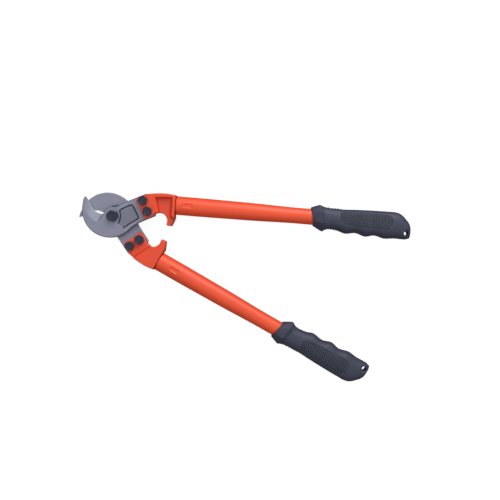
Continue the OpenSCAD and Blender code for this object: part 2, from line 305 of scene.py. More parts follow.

# %% [markdown]
# The blades are forged from tool steel, shot-blasted to a satin grey and ground only at the
# cutting bevel. Blasted steel scatters light, so most of its look is a middling roughness and
# a fine stipple. The grinding wheel leaves parallel scratches and a lighter face. The meshes
# mark such places with painted values: `ground` for the bevel, `rim` for the edges that
# handling has polished, `panel` for the rough sunk field and `dark` for painted shade in the
# groove, in a cove at the heel of the bevel, in the leaf pocket and on the walls.

# %% Blade steel


def forged_steel():
    paint = Paint("forged_steel")
    ground, rim, panel = paint.mask("ground"), paint.mask("rim"), paint.mask("panel")
    cloud = paint.noise(14, 4)
    grain = paint.noise(0.45, 3)
    drawn_out = {"Vector": paint.place, "Rotation": (0, 0, radians(-50)), "Scale": (0.12, 4, 1)}
    scratches = paint.noise(1.0, 4, paint.node("ShaderNodeMapping", inputs=drawn_out))
    base = paint.layers(
        paint.blend(cloud, colour(130, 131, 149), colour(150, 151, 169)),
        (paint.ramp(grain, (0.35, 0), (0.7, 1)) * 0.25, (104, 105, 120)),
        (ground * 0.9, (130, 131, 148)),
        (ground * paint.ramp(scratches, (0.4, 0), (0.65, 1)) * 0.3, (152, 153, 170)),
        (panel * 0.45, (96, 98, 112)),
        (rim * 0.35, (160, 161, 176)),
        # painted shade: the dark mask darkens the groove, a cove at the heel, the leaf pocket and the
        # walls
        (paint.mask("dark") * 0.85, (34, 34, 46)),
    )
    rough = 0.5 + 0.12 * ground - 0.08 * rim + 0.08 * cloud
    stipple = paint.bump(grain * (1 - 0.8 * ground), 0.05)
    lines = paint.bump(scratches * ground, 0.02, stipple)
    pitting = paint.bump(paint.noise(1.3, 3) * panel, 0.4, lines)
    metal = 0.75 - 0.55 * ground
    return paint.finish(Base_Color=base, Metallic=metal, Roughness=rough, Normal=pitting)


# %% [markdown]
# The sockets are cast steel and the tubes are drawn steel, and both wear the same orange
# enamel. Sprayed enamel is smooth with a slow ripple called orange peel, and a clear gloss
# lies over the colour. On the casting the sand's grain still shows a little through the paint.

# %% Orange enamel


def enamel(name, sand, dark, light, edge_highlight):
    """Orange paint with that much sand grain, and its last colour is a painted highlight on rounded
    edges.
    """
    paint = Paint(name)
    drift = paint.noise(22, 3)
    speck = paint.ramp(paint.noise(0.7, 2), (0.66, 0), (0.74, 1))
    base = paint.layers(
        paint.blend(drift, colour(*dark), colour(*light)),
        # painted highlight: a lighter orange along the rounded edges that the rim mask marks
        (paint.mask("rim") * 0.35, edge_highlight),
        (speck * 0.12, (150, 48, 24)),
        # painted shade: darker at the joint of casting and tube and in the pocket
        (paint.mask("seam") * 0.8, (70, 18, 10)),
    )
    rough = 0.46 + 0.1 * drift + 0.08 * speck
    peel = paint.bump(paint.noise(1.6, 1), 0.035)
    skin = paint.bump(paint.noise(0.9, 3), sand, peel)
    return paint.finish(
        Base_Color=base, Roughness=rough, Normal=skin, Coat_Weight=0.2, Coat_Roughness=0.42
    )


# %% [markdown]
# Bolts, nuts and washers are black-oxided: a thin blue-black layer with bare metal glinting
# at the worn corners. The grips are moulded rubber, matt, with a fine leathery grain that the
# sharper tops of the tread have lost.

# %% Black oxide and rubber


def black_oxide():
    paint = Paint("black_oxide")
    cloud = paint.noise(3, 4)
    base = paint.blend(cloud, colour(34, 38, 54), colour(48, 52, 70))
    base = paint.layers(base, (paint.mask("rim") * 0.4, (88, 92, 112)))
    rough = 0.42 + 0.16 * cloud
    grain = paint.bump(paint.noise(0.35, 3), 0.03)
    return paint.finish(Base_Color=base, Metallic=0.45, Roughness=rough, Normal=grain)


def moulded_rubber():
    paint = Paint("moulded_rubber")
    crest, groove = paint.mask("crest"), paint.mask("groove")
    cloud = paint.noise(18, 4)
    dust = paint.ramp(paint.noise(2.2, 4), (0.45, 0), (0.8, 1))
    base = paint.blend(cloud, colour(38, 41, 59), colour(50, 54, 75))
    base = paint.layers(
        # painted shade: the groove mask darkens the tread's cuts and the open end of the grip
        base, (dust * 0.15, (78, 81, 102)), (crest * 0.35, (80, 84, 104)), (groove * 0.9, (18, 19, 32))
    )
    rough = 0.52 + 0.12 * cloud - 0.08 * crest
    grain = paint.bump(paint.noise(0.5, 3) * (1 - 0.6 * crest), 0.06)
    return paint.finish(Base_Color=base, Roughness=rough, Normal=grain)


STEEL = forged_steel()
CASTING = enamel("casting_enamel", 0.09, (210, 54, 10), (228, 66, 16), (244, 96, 48))
TUBE_PAINT = enamel("tube_enamel", 0.02, (220, 64, 14), (232, 74, 22), (244, 100, 60))
OXIDE = black_oxide()
RUBBER = moulded_rubber()
print("finishes", [m.name for m in (STEEL, CASTING, TUBE_PAINT, OXIDE, RUBBER)])

# %% [markdown]
# Drawing helpers come next. An outline is drawn as a draughtsman would: straight lines, arcs
# and rounded corners, stepped finely enough that the steps never show.

# %% Drawing in the plan
STEP = 0.7


def polar(radius, angle):
    """A point at that distance and angle in degrees; arrays give rows of points."""
    turn = np.radians(angle)
    return np.stack([radius * np.cos(turn), radius * np.sin(turn)], axis=-1)


def arc(at, radius, start, end, step=STEP):
    """Points along an arc from one angle to another."""
    count = max(3, int(abs(radians(end - start)) * radius / step) + 1)
    return np.array(at) + polar(radius, np.linspace(start, end, count))


def path(points, step=STEP):
    """Points along straight runs between corners."""
    rows = [np.array(points[:1], float)]
    for a, b in zip(points[:-1], points[1:]):
        a, b = np.array(a, float), np.array(b, float)
        count = max(1, int(np.linalg.norm(b - a) / step))
        rows.append(a + (b - a) * np.linspace(0, 1, count + 1)[1:, None])
    return np.concatenate(rows)


def turned(points, angle, shift=(0, 0)):
    """Points turned about the origin, then shifted."""
    c, s = cos(radians(angle)), sin(radians(angle))
    return np.array(points, float) @ np.array([[c, s], [-s, c]]) + np.array(shift)


def on_tang(points):
    """From along and across the tang to the tool's X and Y."""
    return turned(points, TANG_DIR)


def on_handle(points):
    """From along and across the handle's axis to the tool's X and Y."""
    return turned(points, HANDLE_DIR, (0, HANDLE_Y))


def softened(points, passes=3):
    """Corner cutting: each pass rounds a line's corners, and its ends stay."""
    points = np.array(points, float)
    for _ in range(passes):
        a, b = points[:-1], points[1:]
        inner = np.stack([a * 0.75 + b * 0.25, a * 0.25 + b * 0.75], 1)
        points = np.concatenate([points[:1], inner.reshape(-1, 2)[1:-1], points[-1:]])
    return points


CORNER_STEP = 0.4


def rounded(corners):
    """A closed outline from corners (x, y, radius), each rounded by an arc."""
    rows, total = [], len(corners)
    for i, (x, y, radius) in enumerate(corners):
        here = np.array([x, y])
        back = np.array(corners[i - 1][:2]) - here
        on = np.array(corners[(i + 1) % total][:2]) - here
        back, on = back / np.linalg.norm(back), on / np.linalg.norm(on)
        half = np.arccos(np.clip(back @ on, -1, 1)) / 2
        if radius <= 0 or half > radians(88):
            rows.append(here[None])
            continue
        middle = here + (back + on) / np.linalg.norm(back + on) * radius / sin(half)
        first, last = here + back * radius / np.tan(half), here + on * radius / np.tan(half)
        start = degrees(atan2(*(first - middle)[::-1]))
        sweep = (degrees(atan2(*(last - middle)[::-1])) - start + 180) % 360 - 180
        rows.append(arc(middle, radius, start, start + sweep, CORNER_STEP))
    return np.concatenate(rows)


def closed(points, step=STEP):
    """The same closed line, stepped evenly, without its last point."""
    loop = path([*points, points[0]], step)[:-1]
    apart = np.linalg.norm(loop - np.roll(loop, 1, axis=0), axis=1)
    return loop[apart > 0.05]


def rise(value, low, high):
    """0 below low, 1 above high and a smooth rise between."""
    t = np.clip((np.asarray(value, float) - low) / (high - low), 0, 1)
    return t * t * (3 - 2 * t)


def distance(points, line, shut=False):
    """How far each point is from a line of points."""
    ends = np.roll(line, -1, axis=0) if shut else line[1:]
    starts = line if shut else line[:-1]
    along = ends - starts
    length = np.maximum((along**2).sum(1), 1e-12)
    result = []
    for group in np.array_split(points, max(1, len(points) // 1500)):
        offset = group[:, None] - starts[None]
        t = np.clip((offset * along).sum(2) / length, 0, 1)
        result.append(np.sqrt(((offset - t[..., None] * along) ** 2).sum(2).min(1)))
    return np.concatenate(result)


def inside(points, loop):
    """True where a point lies within a closed line."""
    a, b = loop, np.roll(loop, -1, axis=0)
    result = []
    for group in np.array_split(points, max(1, len(points) // 1500)):
        x, y = group[:, :1], group[:, 1:]
        spans = (a[:, 1] > y) != (b[:, 1] > y)
        rise_y = np.where(b[:, 1] == a[:, 1], 1e-12, b[:, 1] - a[:, 1])
        crossing = a[:, 0] + (y - a[:, 1]) * (b[:, 0] - a[:, 0]) / rise_y
        result.append(((spans & (x < crossing)).sum(1) % 2) == 1)
    return np.concatenate(result)


print("an arc of radius 10 over 90 degrees has", len(arc((0, 0), 10, 0, 90)), "points")

# %% [markdown]
# Blades and sockets are plates with relief: flat bars whose two faces carry bevels, pockets,
# grooves and rounded rims. They could be cut with booleans and rounded with a Bevel modifier,
# but that rounding fails where a bevel runs out to nothing. Here the plan is triangulated
# once, with rows of points beside every rim and every feature line, and then each face is
# lifted by a formula of x and y. The rows put the points where the formula bends. A row's
# point is left out where it would come closer to another line than its own offset.

# %% Plates with relief
RIM_ROWS = (0.12, 0.35, 0.7, 1.15, 1.5, 2.1, 3.0, 4.2, 5.8)
LINE_ROWS = (0, 0.25, 0.55, 0.85, 1.2, 1.8)
WALL_INSET = 0.3
GRID, CELL, CLOSEST = 1.25, 0.8, 0.1
OWN_SIDE = 0.97


def rows_beside(line, offsets, shut):
    """Points beside a line at each offset, on the left where the offset is positive."""
    ahead, behind = np.roll(line, -1, axis=0), np.roll(line, 1, axis=0)
    if not shut:
        ahead[-1], behind[0] = line[-1], line[0]
    run = ahead - behind
    left = np.stack([-run[:, 1], run[:, 0]], 1) / np.linalg.norm(run, axis=1)[:, None]
    return [(line + left * offset, abs(offset)) for offset in offsets]


def plan_mesh(loops, lines):
    """Triangles over the area inside the first loop and outside the others."""
    kept = []
    for loop in loops:
        for row, gap in rows_beside(loop, RIM_ROWS, True):
            near = np.min([distance(row, other, True) for other in loops], axis=0)
            kept.append(row[near > gap * OWN_SIDE])
    for line in lines:
        for side in (1, -1):
            for row, gap in rows_beside(line, np.array(LINE_ROWS) * side, False):
                kept.append(row[distance(row, line) > gap * OWN_SIDE - 1e-6])
    low, high = loops[0].min(0), loops[0].max(0)
    xs, ys = np.arange(low[0], high[0], GRID), np.arange(low[1], high[1], GRID * 0.866)
    field = np.stack(np.meshgrid(xs, ys), -1)
    field[1::2, :, 0] += GRID / 2
    field = field.reshape(-1, 2)
    crowded = np.concatenate(kept)
    cells = {tuple(c) for c in np.round(crowded / CELL).astype(int)}
    lonely = [tuple(c) not in cells for c in np.round(field / CELL).astype(int)]
    spots = np.concatenate([crowded, field[lonely]])
    rim_gap = np.min([distance(spots, loop, True) for loop in loops], axis=0)
    within = inside(spots, loops[0]) & (rim_gap > RIM_ROWS[0] * 0.9)
    for hole in loops[1:]:
        within &= ~inside(spots, hole)
    spots = spots[within]
    _, first = np.unique(np.round(spots / CLOSEST).astype(int), axis=0, return_index=True)
    spots = spots[np.sort(first)]
    edges, start = [], 0
    for loop in loops:
        edges += [(start + i, start + (i + 1) % len(loop)) for i in range(len(loop))]
        start += len(loop)
    every = np.concatenate([*loops, spots])
    found = delaunay_2d_cdt([Vector(p) for p in every], edges, [], 0, 1e-4)
    points = np.array([tuple(p) for p in found[0]])
    triangles = np.array(found[2])
    middles = points[triangles].mean(1)
    solid = inside(middles, loops[0])
    for hole in loops[1:]:
        solid &= ~inside(middles, hole)
    return points, triangles[solid]


def plate(points, triangles, front, back):
    """Vertices and faces of a plate between two faces, and which vertices lie on its walls."""
    count = len(points)
    sides = {}
    for a, b, c in triangles:
        for edge in ((a, b), (b, c), (c, a)):
            if edge[::-1] in sides:
                del sides[edge[::-1]]
            else:
                sides[edge] = True
    rim = sorted({a for a, _ in sides})
    place = {a: i for i, a in enumerate(rim)}
    inset = np.minimum(WALL_INSET, (front[rim] - back[rim]) * 0.3)
    vertices = np.concatenate([
        np.column_stack([points, front]),
        np.column_stack([points, back]),
        np.column_stack([points[rim], front[rim] - inset]),
        np.column_stack([points[rim], back[rim] + inset]),
    ])
    faces = [tuple(t) for t in triangles] + [tuple(t[::-1] + count) for t in triangles]
    upper, lower = 2 * count, 2 * count + len(rim)
    for a, b in sides:
        i, j = place[a], place[b]
        levels = [(b, a), (upper + j, upper + i), (lower + j, lower + i), (b + count, a + count)]
        faces += [(*high, *low[::-1]) for high, low in zip(levels[:-1], levels[1:])]
    return vertices, faces, 2 * len(rim)


print("rows beside a rim, mm:", RIM_ROWS)

# %% [markdown]
# Tubes, grips, bolts and cutters are lofts: rings of points joined by rows of faces.

# %% Rings and lofts


def full_turn(count):
    return np.linspace(0, 2 * pi, count, endpoint=False)


def ring(radius, height, turns):
    """Points round the Z axis; radius and height may change on the way round."""
    return np.column_stack([
        radius * np.cos(turns), radius * np.sin(turns), np.broadcast_to(height, turns.shape)
    ])


def loft(rows):
    """Faces that join rings of equal length into a closed ring of rings."""
    count, sides = len(rows), len(rows[0])
    faces = []
    for k in range(count):
        after = (k + 1) % count
        for i in range(sides):
            j = (i + 1) % sides
            faces.append((k * sides + i, k * sides + j, after * sides + j, after * sides + i))
    return np.concatenate(rows), faces


def capped(rows):
    """Faces that join rings in a row and close the first and the last."""
    sides = len(rows[0])
    last = (len(rows) - 1) * sides
    points, faces = loft(rows)
    caps = [tuple(range(sides)[::-1]), tuple(range(last, last + sides))]
    return points, faces[:last] + caps


def spun(profile, sides):
    """A closed solid of revolution about Z from (radius, height) points."""
    return capped([ring(radius, height, full_turn(sides)) for radius, height in profile])


print("a ring of radius 1:", ring(1, 0, full_turn(4)).round(3).tolist())

# %% [markdown]
# Every finished piece goes through one door. It turns a half's millimetres into the frame's
# metres, turns the lower half's pieces over, paints the masks on the mesh, marks sharp edges,
# sets the piece on the body that it rides on and hides the CAD node that it stands for.

# %% Setting a piece in its place


def solid(name, vertices, faces, half):
    """An object from millimetres of a half, or of the frame where half is None."""
    spots = np.array(vertices, float)
    if half == "lower":
        spots = spots * (1, -1, -1)
    if half:
        spots = spots + (0, 0, mating_z)
    mesh = bpy.data.meshes.new(name)
    mesh.from_pydata(spots * MM, [], [tuple(int(i) for i in face) for face in faces])
    return new_object(name, mesh)


def finished(piece, material, sharp, masks):
    """The piece with its finish and its painted masks, sharp at edges over that angle."""
    for key, values in masks.items():
        layer = piece.data.attributes.new(key, "FLOAT", "POINT")
        layer.data.foreach_set("value", np.asarray(values, np.float32))
    piece.data.materials.append(material)
    piece.data.shade_smooth()
    piece.data.set_sharp_from_angle(angle=radians(sharp))
    return piece


def attach(piece, body, node):
    """Ride the piece on its body, in the place of a CAD node."""
    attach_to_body(piece, body)
    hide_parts(node)
    print(piece.name, len(piece.data.vertices), "points,", len(piece.data.polygons), "faces")


def carve(piece, sharp, tool, operation="DIFFERENCE"):
    """Cut or join with another closed solid, which is then thrown away."""
    step = piece.modifiers.new("carve", "BOOLEAN")
    step.object = tool
    step.operation = operation
    step.solver = "EXACT"
    view = bpy.context.evaluated_depsgraph_get()
    result = bpy.data.meshes.new_from_object(piece.evaluated_get(view))
    piece.modifiers.clear()
    piece.data = result
    piece.data.set_sharp_from_angle(angle=radians(sharp))
    bpy.data.objects.remove(tool)


print("the lower half is the upper one turned over about X")

# %% [markdown]
# The blade: a round jaw with a hollow cutting edge, a boss round the pivot and a straight
# tang. Its outline is arcs and lines joined at the points where they meet. The bevel is a
# ruled slope from the edge up to a circle on the face, and it runs out against the boss.

# %% Blade outline


def angle_of(point, at):
    return degrees(atan2(point[1] - at[1], point[0] - at[0]))


def meet(at_a, r_a, at_b, r_b, side):
    """Where two circles cross, on the left or right of the line between them."""
    run = at_b - at_a
    gap = hypot(*run)
    half = degrees(np.arccos((r_a**2 + gap**2 - r_b**2) / (2 * r_a * gap)))
    return at_a + polar(r_a, degrees(atan2(run[1], run[0])) + side * half)


FILLET_R, FILLET_U = 70, TANG_END - 18
FILLET_AT = on_tang([(FILLET_U, TANG_IN - FILLET_R)])[0]
edge_from = MOUTH_AT + polar(MOUTH_R, NOSE_DIR + 90)
edge_run = polar(1, NOSE_DIR)
nose_reach = (NOSE_BACK[0][0] - edge_from[0]) / edge_run[0]
nose = edge_from + edge_run * nose_reach
bulge = MOUTH_AT + turned([NOSE_BULGE], NOSE_DIR)[0]
heel = meet(MOUTH_AT, MOUTH_R, np.zeros(2), BOSS_R, -1)
waist = meet(JAW_AT, JAW_R, FILLET_AT, FILLET_R, 1)
SHOULDER_FROM, SHOULDER_DIR, SHOULDER_LIFT, SHOULDER_SPREAD = 102, 104, 1.4, 26


def boss_arc():
    """The boss from the tang round to the mouth, with its raised shoulder."""
    angles = np.linspace(SHOULDER_FROM, 360 + angle_of(heel, (0, 0)), 60)
    lift = SHOULDER_LIFT * np.exp(-(((angles - SHOULDER_DIR) / SHOULDER_SPREAD) ** 2) * 2)
    return polar(BOSS_R + lift, angles)


cutting_edge = np.concatenate([
    path([nose, bulge, edge_from]),
    arc(MOUTH_AT, MOUTH_R, NOSE_DIR + 90, 360 + angle_of(heel, MOUTH_AT)),
])
jaw_rim = np.concatenate([
    softened([nose, *NOSE_BACK[1:]], 2)[:-1],
    arc(JAW_AT, JAW_R, angle_of(NOSE_BACK[-1], JAW_AT) % 360, 360 + angle_of(waist, JAW_AT)),
])
fillet = arc(FILLET_AT, FILLET_R, angle_of(waist, FILLET_AT), TANG_DIR + 90)
tang_sides = on_tang(rounded([
    (FILLET_U, TANG_IN, 0), (TANG_END, TANG_IN, 1.5), (TANG_END, TANG_OUT, 1.5), (BOSS_R, TANG_OUT, 0)
]))
blade_loop = closed(np.concatenate([jaw_rim, fillet, tang_sides, boss_arc(), cutting_edge[::-1]]))
print("nose at", nose.round(1), "heel at", heel.round(1), "waist at", waist.round(1))

# %% [markdown]
# The relief of the blade's outer face is one formula. Near the mouth the bevel climbs from
# the edge to its circle. A groove rings a sunk, plain panel on the tang, and the rims are
# chamfered as the forging left them. Above the pivot, the shoulder has a leaf-shaped pocket.

# %% Blade relief
EDGE_LAND, HOLLOW_GRIND = 0.4, 1.12
CHAMFER = 1.15
GROOVE_HALF, GROOVE_DEPTH, PANEL_SINK = 0.85, 1.3, 0.5
groove = softened([
    (10.2, -7.2), (10.8, 0.8), (9.6, 5.6), (6.9, 9.4), (7.6, 11.6), (13.6, 17.2), (19.6, 22.2),
    (21.8, 21.9), (28.2, 15.2), (34.2, 9.2), (33.9, 6.6), (29, 1.8), (24.6, -3.4), (18.4, -11.4),
])
runout_across = polar(1, RUNOUT_DIR - 90)
runout_line = path([RUNOUT_AT + polar(3, RUNOUT_DIR), RUNOUT_AT - polar(13, RUNOUT_DIR)])
bevel_line = arc(BEVEL_AT, BEVEL_R, 196, 268)
scar = softened([(19, 2.5), (24, 6.8), (27.5, 10.8), (27.8, 12.4)])
leaf = closed(softened([
    (-6.3, 12), (-3.3, 13.6), (0.2, 14.8), (4.6, 16.9),
    (5.2, 16.5), (1.2, 13.6), (-2.8, 12.2), (-6.3, 12),
]), 0.3)
LEAF_DEPTH = 2.6
edge_far = np.concatenate([[nose + (nose - bulge) * 3], cutting_edge])


def bevel_gaps(points):
    """How far each point is past the bevel's run-out, and how far inside its circle."""
    on_boss = BOSS_R - np.linalg.norm(points, axis=1)
    from_runout = np.maximum((points - RUNOUT_AT) @ runout_across, on_boss)
    return from_runout, BEVEL_R - np.linalg.norm(points - BEVEL_AT, axis=1)


def blade_masks(points):
    """Where the face is ground, panel, rim and dark with painted shade, each 0 to 1."""
    from_runout, below_line = bevel_gaps(points)
    ground = (1 - rise(from_runout, -1.4, 0.5)) * rise(below_line, -0.15, 0.25)
    panel = inside(points, groove) * rise(distance(points, groove), 0.3, 1.2)
    rim = 1 - rise(distance(points, blade_loop, True), 0.3, 1.8)
    # Painted shade: the groove's ring, a cove at the heel of the bevel and the leaf pocket are
    # darkened.
    ring = 1 - rise(distance(points, groove), GROOVE_HALF * 0.5, GROOVE_HALF * 1.2)
    painted_cove_shade = 0.3 * (1 - rise(np.abs(from_runout + 1.2), 0, 2.4)) * rise(below_line, 0.5, 7)
    dark = np.maximum(np.maximum(ring, painted_cove_shade), inside(points, leaf) * 0.75)
    return ground, panel, rim, dark


def blade_front(points):
    """Height of the outer face over the mating plane."""
    from_edge = distance(points, edge_far)
    from_runout, to_line = bevel_gaps(points)
    to_line = np.maximum(to_line, 0)
    climb = from_edge / np.maximum(from_edge + to_line, 1e-6)
    low = BLADE_LOW + EDGE_LAND
    bevel = low + (BLADE_TOP - low) * climb**HOLLOW_GRIND
    height = bevel + (BLADE_TOP - bevel) * rise(from_runout, -1.5, 0.7)
    ring = 1 - rise(distance(points, groove), GROOVE_HALF * 0.35, GROOVE_HALF * 1.25)
    sunk = PANEL_SINK * inside(points, groove) * rise(distance(points, groove), 0, 0.6)
    height = height - np.maximum(GROOVE_DEPTH * ring, sunk)
    gap = distance(points, blade_loop, True)
    drop = CHAMFER * np.clip(1 - gap / CHAMFER, 0, 1) ** 1.15
    cut = rise(-from_runout, -0.5, 1.5)
    drop = drop * (1 - cut * rise(to_line, 0, 1.5))
    height = height - LEAF_DEPTH * inside(points, leaf) * rise(distance(points, leaf, True), 0, 0.5)
    return np.maximum(height - drop, BLADE_LOW + EDGE_LAND * 0.75)


def blade_back(points):
    """The mating face: flat, with a fine edge break and one shallow forging line."""
    gap = distance(points, blade_loop, True)
    line = 1 - rise(distance(points, scar), 0.1, 0.7)
    sharp = distance(points, edge_far) < 0.9
    return BLADE_LOW + np.where(sharp, 0, 0.22 * np.clip(1 - gap / 0.35, 0, 1)) + 0.25 * line


# %% Both blades


def bolt_hole(at, radius):
    """A hole drawn clockwise, so that its left side is the metal."""
    return closed(arc(at, radius + HOLE_PLAY, 360, 5, 0.6))


tang_holes = [bolt_hole(on_tang([(BOLT_U, v)])[0], TANG_BOLT_R) for v in BOLT_V]
blade_loops = [blade_loop, bolt_hole((0, 0), PIVOT_R), *tang_holes]
blade_plan, triangles = plan_mesh(blade_loops, [groove, runout_line, bevel_line, scar, leaf])
*blade_shape, walls = plate(blade_plan, triangles, blade_front(blade_plan), blade_back(blade_plan))
ground, panel, rim, dark = blade_masks(blade_plan)
FORGED_SHARP = 38
blank, wall = np.zeros(len(blade_plan)), np.ones(walls)
# The dark mask is painted shade, and it is 1 on the walls, so every side wall of the blade is
# darkened.
blade_paint = {
    "ground": np.concatenate([ground, blank, wall * 0]),
    "panel": np.concatenate([panel, blank, wall * 0]),
    "rim": np.concatenate([rim, rim, wall * 0]),
    "dark": np.concatenate([dark, blank, wall]),
}
for node, half in (("front_blade", "upper"), ("rear_blade", "lower")):
    piece = solid(node + "_forging", *blade_shape, half)
    attach(finished(piece, STEEL, FORGED_SHARP, blade_paint), half + "_half", node)

# %% [markdown]
# The socket is one casting: a fork that holds the tang, a deep body, a collar at the end of
# the tube and a hook that stops the handles. Its faces are flat and its edges are round, and
# its pocket and its step are smooth ramps and not sharp cuts, as in any casting.

# %% Socket outline
FORK_U, FORK_OUT, FORK_IN = 38.5, 9.8, -20.3
STEP_U = 62.5
NOTCH_AT, NOTCH_R, NOTCH_FROM = np.array([62, 12.8]), 10.8, -7
COLLAR_R = 13.3
HOOK_DIR, HOOK_NEAR, HOOK_FAR = 7.75, 74, 79.8
POCKET_DEPTH = 5.5


def corner(point, radius):
    """A corner for `rounded`, from a point and its rounding."""
    return (*point, radius)


fork_out = on_tang([(FORK_U, FORK_OUT), (FORK_U + 17.5, FORK_OUT)])
fork_in = on_tang([(FORK_U + 11.7, FORK_IN), (FORK_U, FORK_IN)])
collar_across = COLLAR_R * np.cos(np.linspace(0, pi, 33))
collar_ends = on_handle([(COLLAR_S, across) for across in collar_across])
back_curve = softened([fork_out[1], (42, 44.9), (48, 47.2), (56, 49.7), (64, 51.6), collar_ends[0]])
hook_tip = rounded([
    corner(collar_ends[-1], 0), (81, 24, 1.5), (80.8, 18, 2),
    corner(polar(80.5, HOOK_DIR + 0.7), 0.6), corner(polar(HOOK_FAR, HOOK_DIR), 0.6),
    corner(polar(HOOK_NEAR, HOOK_DIR), 0.7), corner(NOTCH_AT + polar(NOTCH_R, NOTCH_FROM), 0),
])
notch = arc(NOTCH_AT, NOTCH_R, NOTCH_FROM, angle_of(fork_in[0], NOTCH_AT))
fork_front = rounded([
    corner(fork_in[0], 0), corner(fork_in[1], 1.6), corner(fork_out[0], 1.2), corner(fork_out[1], 0)
])
casting_loop = np.concatenate([fork_front, back_curve[1:], collar_ends[1:], hook_tip[1:], notch])
casting_loop = closed(casting_loop[::-1])
pocket = rounded([
    (46.4, 41.9, 1.2), (69.4, 49, 1.6), (71.4, 47.2, 1.6), (76.6, 24.6, 3),
    (90, 18, 0), (90, 0, 0), (58, 0, 0), (57.6, 23.6, 0),
])
print("casting outline has", len(casting_loop), "points")

# %% Socket relief
CAST_EDGE, POCKET_SLOPE = 1.5, 3.2


def casting_rim(gap):
    """How far a rounded casting edge drops at a distance from the rim."""
    near = np.clip(1 - gap / CAST_EDGE, 0, 1)
    return CAST_EDGE * (1 - np.sqrt(1 - near**2))


def casting_faces(points):
    """Heights of the face with the pocket and of the face with the step, and the pocket's mask."""
    gap = distance(points, casting_loop, True)
    edge = casting_rim(gap)
    depth = np.where(inside(points, pocket), distance(points, pocket, True), 0)
    into = np.clip(depth / POCKET_SLOPE, 0, 1) ** 1.2
    into = into * into * (3 - 2 * into)
    front = SOCKET_HALF - edge - POCKET_DEPTH * into
    u = turned(points, -TANG_DIR)[:, 0]
    step = rise(u, STEP_U - 1.6, STEP_U + 0.9)
    back = FORK_BACK + (-SOCKET_HALF - FORK_BACK) * step + edge
    return np.maximum(front, back + 0.4), back, into


step_line = on_tang(path([(STEP_U - 0.4, 12), (STEP_U - 0.4, -26)]))
pocket_line = pocket[inside(pocket, casting_loop)]
casting_plan, triangles = plan_mesh([casting_loop, *tang_holes], [step_line, pocket_line])
casting_front, casting_back, in_pocket = casting_faces(casting_plan)
*casting_shape, walls = plate(casting_plan, triangles, casting_front, casting_back)
# Painted highlight: the rounded edges of the casting are painted a lighter orange.
casting_edge_highlight = 1 - rise(distance(casting_plan, casting_loop, True), 0.2, 1.4)

# %% [markdown]
# Two things are still to be made on the casting: the slot for the tang, and the spigot that
# the tube is pushed over. Both are plain shapes with sharp sides on the real part, because
# they are machined, so here a boolean is the right tool.

# %% Slot, spigot and both sockets


def along_handle(vertices):
    """Turns a solid whose axis is Z so that the axis is the handle's."""
    across, up, along = vertices[:, 0], vertices[:, 1], vertices[:, 2]
    plan = on_handle(np.column_stack([along, across]))
    return np.column_stack([plan, -up])


TUBE_R, TUBE_WALL = 12.7, 1.6
SPIGOT_R, SPIGOT_END = TUBE_R - TUBE_WALL - HOLE_PLAY, COLLAR_S + 34
spigot, spigot_faces = spun(
    [(SPIGOT_R, COLLAR_S - 4), (SPIGOT_R, SPIGOT_END - 1.5), (SPIGOT_R - 1.5, SPIGOT_END)], 64
)
slot_plan = on_tang([(FORK_U - 9, -40), (TANG_END, -40), (TANG_END, 30), (FORK_U - 9, 30)])
slot_box = [(*p, z) for z in (BLADE_LOW, BLADE_TOP) for p in slot_plan]
box_faces = [(3, 2, 1, 0), (4, 5, 6, 7), (0, 1, 5, 4), (1, 2, 6, 5), (2, 3, 7, 6), (3, 0, 4, 7)]
beside_tube = turned(casting_plan - (0, HANDLE_Y), -HANDLE_DIR)[:, 0]
# Painted shade: the end of the casting at the tube is darkened.
collar_shade = rise(beside_tube, COLLAR_S - 0.9, COLLAR_S - 0.1)
wall = np.zeros(walls)
# Painted shade in the pocket, darkest on its slope.
pocket_shade = 0.14 * in_pocket + 0.9 * in_pocket * (1 - in_pocket)
casting_paint = {
    "rim": np.concatenate([casting_edge_highlight, casting_edge_highlight, wall]),
    "seam": np.concatenate([np.maximum(collar_shade, pocket_shade), collar_shade, wall]),
}
for half in ("upper", "lower"):
    piece = solid(half + "_socket_casting", *casting_shape, half)
    finished(piece, CASTING, FORGED_SHARP, casting_paint)
    carve(piece, FORGED_SHARP, solid("slot", slot_box, box_faces, half))
    carve(piece, FORGED_SHARP, solid("spigot", along_handle(spigot), spigot_faces, half), "UNION")
    attach(piece, half + "_half", half + "_socket")

# %% [markdown]
# The handle tube is drawn steel: full size at the socket, then swaged down to a neck that
# the grip is pushed over. It is a loft: rings along the axis, outside and back inside, so it
# has a true wall. Near the socket it is crimped on both faces, which holds it on the spigot.

# %% Handle tubes
NECK_R, TUBE_END = 10.8, 372
TUBE_SIDES = 128
CRIMP_LONG, CRIMP_WIDE, CRIMP_DEEP = 12.4, 5.2, 1.0
CRIMP_FRONT, CRIMP_BACK = 95.5, 104


def tube_radius(s):
    """Outer radius along the axis, with the swage as a smooth curve."""
    stations = np.array([70, 118, 150, 190, 212, 235, 400])
    radii = np.array([TUBE_R, TUBE_R, TUBE_R - 0.32, TUBE_R - 0.72, TUBE_R - 1.35, NECK_R, NECK_R])
    window = np.linspace(-11, 11, 23)
    return np.mean([np.interp(s + w, stations, radii) for w in window], axis=0)


